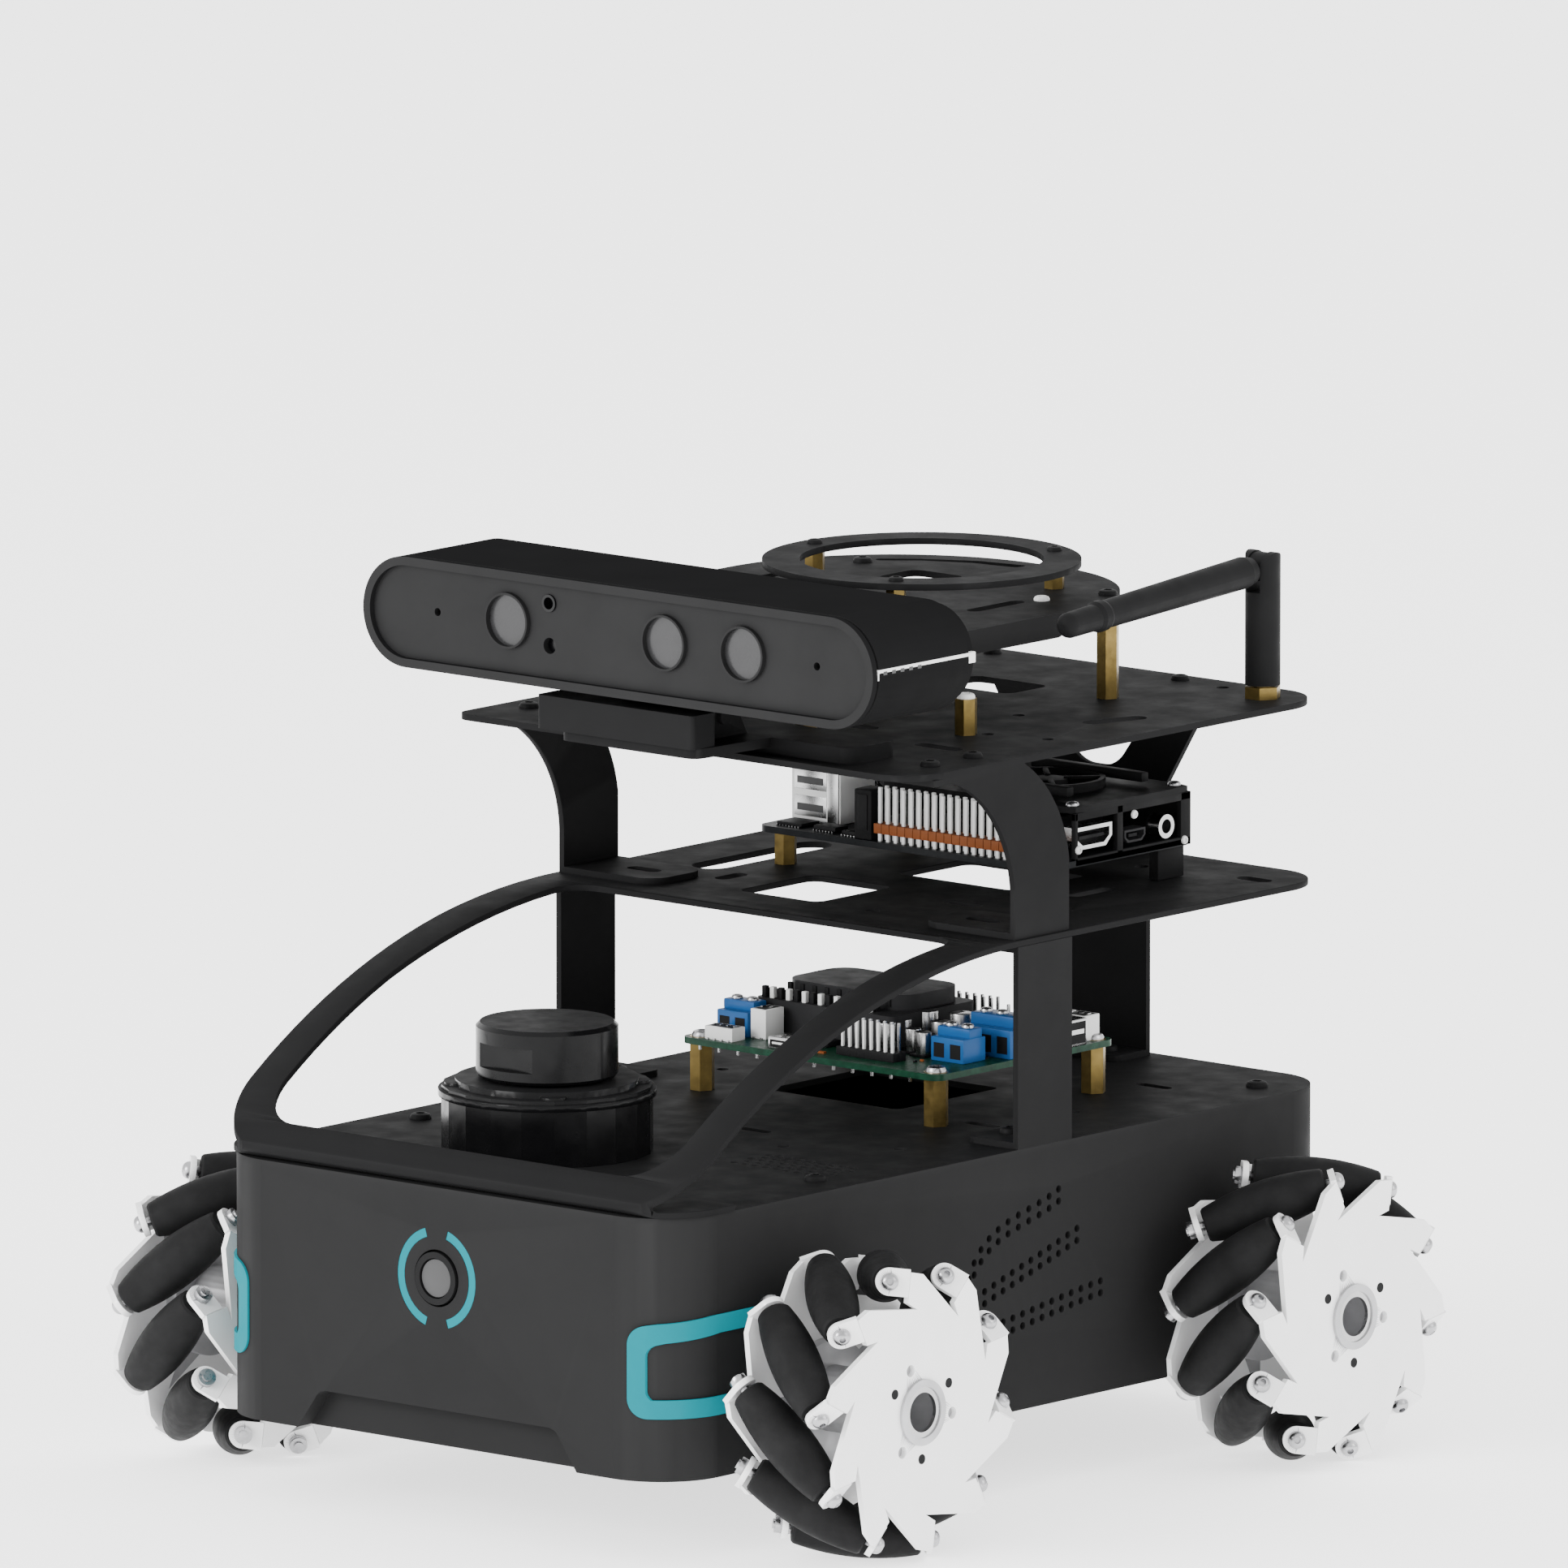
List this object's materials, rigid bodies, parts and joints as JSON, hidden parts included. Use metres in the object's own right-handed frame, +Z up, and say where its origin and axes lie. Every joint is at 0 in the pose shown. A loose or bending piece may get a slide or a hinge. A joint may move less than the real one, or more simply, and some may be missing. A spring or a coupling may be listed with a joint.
{
  "type": "mecanum wheel robot",
  "caption": "Small wheeled robot: sheet-metal chassis, omnidirectional roller wheels, arched front hoop, stacked electronics decks, depth camera, scanner and folding aerial.",
  "frame": {"origin": "middle of the outline on the floor under the wheels", "axes": "+Z up, front of the robot towards -Y, the robot's own left side is +X"},
  "size_m": [0.2356, 0.2546, 0.2248],
  "materials": {
    "chassis_paint": "fine satin dark grey powder coat",
    "plate_paint": "satin black powder coat on bent sheet",
    "camera_shell": "satin black anodised look",
    "scanner_black": "semi-gloss black",
    "dark_plastic": "matte black",
    "wheel_alloy": "bright stamped sheet, brushed",
    "roller_rubber": "matte moulded rubber",
    "brass": "dull plated brass",
    "board_green": "green solder resist",
    "motor_steel": "plain steel cans and black cells",
    "button_grey": "light grey cap in a black collar",
    "cyan_light": "lit diffuser"
  },
  "bodies": {
    "frame": {"chassis": "chassis_paint", "mid_plate_hoop": "plate_paint", "support_brackets": "plate_paint", "top_plate": "plate_paint", "ring_mount": "plate_paint", "brass_fittings": "brass", "computer": "dark_plastic", "control_board": "board_green", "lidar_base": "scanner_black", "drive_units": "motor_steel", "lights": "cyan_light"},
    "camera": {"depth_camera": "camera_shell"},
    "scanner": {"lidar_head": "scanner_black"},
    "aerial_swivel": {"antenna_base": "dark_plastic"},
    "aerial_arm": {"antenna_rod": "dark_plastic"},
    "button": {"power_button": "button_grey"},
    "wheel_fl": {"wheel_fl": "wheel_alloy"},
    "wheel_fr": {"wheel_fr": "wheel_alloy"},
    "wheel_rl": {"wheel_rl": "wheel_alloy"},
    "wheel_rr": {"wheel_rr": "wheel_alloy"},
    "roller_fl_0": {"roller_fl_0": "roller_rubber"},
    "roller_fl_1": {"roller_fl_1": "roller_rubber"},
    "roller_fl_2": {"roller_fl_2": "roller_rubber"},
    "roller_fl_3": {"roller_fl_3": "roller_rubber"},
    "roller_fl_4": {"roller_fl_4": "roller_rubber"},
    "roller_fl_5": {"roller_fl_5": "roller_rubber"},
    "roller_fl_6": {"roller_fl_6": "roller_rubber"},
    "roller_fl_7": {"roller_fl_7": "roller_rubber"},
    "roller_fl_8": {"roller_fl_8": "roller_rubber"},
    "roller_fl_9": {"roller_fl_9": "roller_rubber"},
    "roller_fr_0": {"roller_fr_0": "roller_rubber"},
    "roller_fr_1": {"roller_fr_1": "roller_rubber"},
    "roller_fr_2": {"roller_fr_2": "roller_rubber"},
    "roller_fr_3": {"roller_fr_3": "roller_rubber"},
    "roller_fr_4": {"roller_fr_4": "roller_rubber"},
    "roller_fr_5": {"roller_fr_5": "roller_rubber"},
    "roller_fr_6": {"roller_fr_6": "roller_rubber"},
    "roller_fr_7": {"roller_fr_7": "roller_rubber"},
    "roller_fr_8": {"roller_fr_8": "roller_rubber"},
    "roller_fr_9": {"roller_fr_9": "roller_rubber"},
    "roller_rl_0": {"roller_rl_0": "roller_rubber"},
    "roller_rl_1": {"roller_rl_1": "roller_rubber"},
    "roller_rl_2": {"roller_rl_2": "roller_rubber"},
    "roller_rl_3": {"roller_rl_3": "roller_rubber"},
    "roller_rl_4": {"roller_rl_4": "roller_rubber"},
    "roller_rl_5": {"roller_rl_5": "roller_rubber"},
    "roller_rl_6": {"roller_rl_6": "roller_rubber"},
    "roller_rl_7": {"roller_rl_7": "roller_rubber"},
    "roller_rl_8": {"roller_rl_8": "roller_rubber"},
    "roller_rl_9": {"roller_rl_9": "roller_rubber"},
    "roller_rr_0": {"roller_rr_0": "roller_rubber"},
    "roller_rr_1": {"roller_rr_1": "roller_rubber"},
    "roller_rr_2": {"roller_rr_2": "roller_rubber"},
    "roller_rr_3": {"roller_rr_3": "roller_rubber"},
    "roller_rr_4": {"roller_rr_4": "roller_rubber"},
    "roller_rr_5": {"roller_rr_5": "roller_rubber"},
    "roller_rr_6": {"roller_rr_6": "roller_rubber"},
    "roller_rr_7": {"roller_rr_7": "roller_rubber"},
    "roller_rr_8": {"roller_rr_8": "roller_rubber"},
    "roller_rr_9": {"roller_rr_9": "roller_rubber"}
  },
  "joints": [
    {"name": "aerial_swivel", "type": "hinge", "parent": "frame", "child": "aerial_swivel", "pos_m": [0.063, 0.111, 0.19], "axis": [0, 0, 1], "range_deg": [-12, 195]},
    {"name": "aerial_tilt", "type": "hinge", "parent": "aerial_swivel", "child": "aerial_arm", "pos_m": [0.063, 0.111, 0.215], "axis": [1, 0, 0], "range_deg": [-94, 6]},
    {"name": "camera_tilt", "type": "hinge", "parent": "frame", "child": "camera", "pos_m": [0, -0.038, 0.1916], "axis": [1, 0, 0], "range_deg": [-18, 5]},
    {"name": "lidar_spin", "type": "hinge", "parent": "frame", "child": "scanner", "pos_m": [-0.013, -0.071, 0.105], "axis": [0, 0, 1], "continuous": true},
    {"name": "button_press", "type": "slide", "parent": "frame", "child": "button", "axis": [0, 1, 0], "range_m": [0, 0.0015], "stiffness_N_per_m": 800, "springref_m": -0.0005},
    {"name": "drive_fl", "type": "hinge", "parent": "frame", "child": "wheel_fl", "pos_m": [0.1005, -0.082, 0.03743], "axis": [1, 0, 0], "continuous": true},
    {"name": "drive_fr", "type": "hinge", "parent": "frame", "child": "wheel_fr", "pos_m": [-0.1005, -0.082, 0.03743], "axis": [1, 0, 0], "continuous": true},
    {"name": "drive_rl", "type": "hinge", "parent": "frame", "child": "wheel_rl", "pos_m": [0.1005, 0.082, 0.03743], "axis": [1, 0, 0], "continuous": true},
    {"name": "drive_rr", "type": "hinge", "parent": "frame", "child": "wheel_rr", "pos_m": [-0.1005, 0.082, 0.03743], "axis": [1, 0, 0], "continuous": true},
    {"name": "roller_fl_0_spin", "type": "hinge", "parent": "wheel_fl", "child": "roller_fl_0", "pos_m": [0.1005, -0.07711, 0.0683], "axis": [0.7071, -0.6984, 0.1106], "continuous": true},
    {"name": "roller_fl_1_spin", "type": "hinge", "parent": "wheel_fl", "child": "roller_fl_1", "pos_m": [0.1005, -0.09619, 0.06527], "axis": [0.7071, -0.63, -0.321], "continuous": true},
    {"name": "roller_fl_2_spin", "type": "hinge", "parent": "wheel_fl", "child": "roller_fl_2", "pos_m": [0.1005, -0.10984, 0.05162], "axis": [0.7071, -0.321, -0.63], "continuous": true},
    {"name": "roller_fl_3_spin", "type": "hinge", "parent": "wheel_fl", "child": "roller_fl_3", "pos_m": [0.1005, -0.11287, 0.03254], "axis": [0.7071, 0.1106, -0.6984], "continuous": true},
    {"name": "roller_fl_4_spin", "type": "hinge", "parent": "wheel_fl", "child": "roller_fl_4", "pos_m": [0.1005, -0.1041, 0.01533], "axis": [0.7071, 0.5, -0.5], "continuous": true},
    {"name": "roller_fl_5_spin", "type": "hinge", "parent": "wheel_fl", "child": "roller_fl_5", "pos_m": [0.1005, -0.08689, 0.00656], "axis": [0.7071, 0.6984, -0.1106], "continuous": true},
    {"name": "roller_fl_6_spin", "type": "hinge", "parent": "wheel_fl", "child": "roller_fl_6", "pos_m": [0.1005, -0.06781, 0.00959], "axis": [0.7071, 0.63, 0.321], "continuous": true},
    {"name": "roller_fl_7_spin", "type": "hinge", "parent": "wheel_fl", "child": "roller_fl_7", "pos_m": [0.1005, -0.05416, 0.02324], "axis": [0.7071, 0.321, 0.63], "continuous": true},
    {"name": "roller_fl_8_spin", "type": "hinge", "parent": "wheel_fl", "child": "roller_fl_8", "pos_m": [0.1005, -0.05113, 0.04232], "axis": [0.7071, -0.1106, 0.6984], "continuous": true},
    {"name": "roller_fl_9_spin", "type": "hinge", "parent": "wheel_fl", "child": "roller_fl_9", "pos_m": [0.1005, -0.0599, 0.05953], "axis": [0.7071, -0.5, 0.5], "continuous": true},
    {"name": "roller_fr_0_spin", "type": "hinge", "parent": "wheel_fr", "child": "roller_fr_0", "pos_m": [-0.1005, -0.07711, 0.0683], "axis": [-0.7071, -0.6984, 0.1106], "continuous": true},
    {"name": "roller_fr_1_spin", "type": "hinge", "parent": "wheel_fr", "child": "roller_fr_1", "pos_m": [-0.1005, -0.0599, 0.05953], "axis": [-0.7071, -0.5, 0.5], "continuous": true},
    {"name": "roller_fr_2_spin", "type": "hinge", "parent": "wheel_fr", "child": "roller_fr_2", "pos_m": [-0.1005, -0.05113, 0.04232], "axis": [-0.7071, -0.1106, 0.6984], "continuous": true},
    {"name": "roller_fr_3_spin", "type": "hinge", "parent": "wheel_fr", "child": "roller_fr_3", "pos_m": [-0.1005, -0.05416, 0.02324], "axis": [-0.7071, 0.321, 0.63], "continuous": true},
    {"name": "roller_fr_4_spin", "type": "hinge", "parent": "wheel_fr", "child": "roller_fr_4", "pos_m": [-0.1005, -0.06781, 0.00959], "axis": [-0.7071, 0.63, 0.321], "continuous": true},
    {"name": "roller_fr_5_spin", "type": "hinge", "parent": "wheel_fr", "child": "roller_fr_5", "pos_m": [-0.1005, -0.08689, 0.00656], "axis": [-0.7071, 0.6984, -0.1106], "continuous": true},
    {"name": "roller_fr_6_spin", "type": "hinge", "parent": "wheel_fr", "child": "roller_fr_6", "pos_m": [-0.1005, -0.1041, 0.01533], "axis": [-0.7071, 0.5, -0.5], "continuous": true},
    {"name": "roller_fr_7_spin", "type": "hinge", "parent": "wheel_fr", "child": "roller_fr_7", "pos_m": [-0.1005, -0.11287, 0.03254], "axis": [-0.7071, 0.1106, -0.6984], "continuous": true},
    {"name": "roller_fr_8_spin", "type": "hinge", "parent": "wheel_fr", "child": "roller_fr_8", "pos_m": [-0.1005, -0.10984, 0.05162], "axis": [-0.7071, -0.321, -0.63], "continuous": true},
    {"name": "roller_fr_9_spin", "type": "hinge", "parent": "wheel_fr", "child": "roller_fr_9", "pos_m": [-0.1005, -0.09619, 0.06527], "axis": [-0.7071, -0.63, -0.321], "continuous": true},
    {"name": "roller_rl_0_spin", "type": "hinge", "parent": "wheel_rl", "child": "roller_rl_0", "pos_m": [0.1005, 0.08689, 0.0683], "axis": [0.7071, 0.6984, -0.1106], "continuous": true},
    {"name": "roller_rl_1_spin", "type": "hinge", "parent": "wheel_rl", "child": "roller_rl_1", "pos_m": [0.1005, 0.06781, 0.06527], "axis": [0.7071, 0.63, 0.321], "continuous": true},
    {"name": "roller_rl_2_spin", "type": "hinge", "parent": "wheel_rl", "child": "roller_rl_2", "pos_m": [0.1005, 0.05416, 0.05162], "axis": [0.7071, 0.321, 0.63], "continuous": true},
    {"name": "roller_rl_3_spin", "type": "hinge", "parent": "wheel_rl", "child": "roller_rl_3", "pos_m": [0.1005, 0.05113, 0.03254], "axis": [0.7071, -0.1106, 0.6984], "continuous": true},
    {"name": "roller_rl_4_spin", "type": "hinge", "parent": "wheel_rl", "child": "roller_rl_4", "pos_m": [0.1005, 0.0599, 0.01533], "axis": [0.7071, -0.5, 0.5], "continuous": true},
    {"name": "roller_rl_5_spin", "type": "hinge", "parent": "wheel_rl", "child": "roller_rl_5", "pos_m": [0.1005, 0.07711, 0.00656], "axis": [0.7071, -0.6984, 0.1106], "continuous": true},
    {"name": "roller_rl_6_spin", "type": "hinge", "parent": "wheel_rl", "child": "roller_rl_6", "pos_m": [0.1005, 0.09619, 0.00959], "axis": [0.7071, -0.63, -0.321], "continuous": true},
    {"name": "roller_rl_7_spin", "type": "hinge", "parent": "wheel_rl", "child": "roller_rl_7", "pos_m": [0.1005, 0.10984, 0.02324], "axis": [0.7071, -0.321, -0.63], "continuous": true},
    {"name": "roller_rl_8_spin", "type": "hinge", "parent": "wheel_rl", "child": "roller_rl_8", "pos_m": [0.1005, 0.11287, 0.04232], "axis": [0.7071, 0.1106, -0.6984], "continuous": true},
    {"name": "roller_rl_9_spin", "type": "hinge", "parent": "wheel_rl", "child": "roller_rl_9", "pos_m": [0.1005, 0.1041, 0.05953], "axis": [0.7071, 0.5, -0.5], "continuous": true},
    {"name": "roller_rr_0_spin", "type": "hinge", "parent": "wheel_rr", "child": "roller_rr_0", "pos_m": [-0.1005, 0.08689, 0.0683], "axis": [-0.7071, 0.6984, -0.1106], "continuous": true},
    {"name": "roller_rr_1_spin", "type": "hinge", "parent": "wheel_rr", "child": "roller_rr_1", "pos_m": [-0.1005, 0.1041, 0.05953], "axis": [-0.7071, 0.5, -0.5], "continuous": true},
    {"name": "roller_rr_2_spin", "type": "hinge", "parent": "wheel_rr", "child": "roller_rr_2", "pos_m": [-0.1005, 0.11287, 0.04232], "axis": [-0.7071, 0.1106, -0.6984], "continuous": true},
    {"name": "roller_rr_3_spin", "type": "hinge", "parent": "wheel_rr", "child": "roller_rr_3", "pos_m": [-0.1005, 0.10984, 0.02324], "axis": [-0.7071, -0.321, -0.63], "continuous": true},
    {"name": "roller_rr_4_spin", "type": "hinge", "parent": "wheel_rr", "child": "roller_rr_4", "pos_m": [-0.1005, 0.09619, 0.00959], "axis": [-0.7071, -0.63, -0.321], "continuous": true},
    {"name": "roller_rr_5_spin", "type": "hinge", "parent": "wheel_rr", "child": "roller_rr_5", "pos_m": [-0.1005, 0.07711, 0.00656], "axis": [-0.7071, -0.6984, 0.1106], "continuous": true},
    {"name": "roller_rr_6_spin", "type": "hinge", "parent": "wheel_rr", "child": "roller_rr_6", "pos_m": [-0.1005, 0.0599, 0.01533], "axis": [-0.7071, -0.5, 0.5], "continuous": true},
    {"name": "roller_rr_7_spin", "type": "hinge", "parent": "wheel_rr", "child": "roller_rr_7", "pos_m": [-0.1005, 0.05113, 0.03254], "axis": [-0.7071, -0.1106, 0.6984], "continuous": true},
    {"name": "roller_rr_8_spin", "type": "hinge", "parent": "wheel_rr", "child": "roller_rr_8", "pos_m": [-0.1005, 0.05416, 0.05162], "axis": [-0.7071, 0.321, 0.63], "continuous": true},
    {"name": "roller_rr_9_spin", "type": "hinge", "parent": "wheel_rr", "child": "roller_rr_9", "pos_m": [-0.1005, 0.06781, 0.06527], "axis": [-0.7071, 0.63, 0.321], "continuous": true}
  ]
}
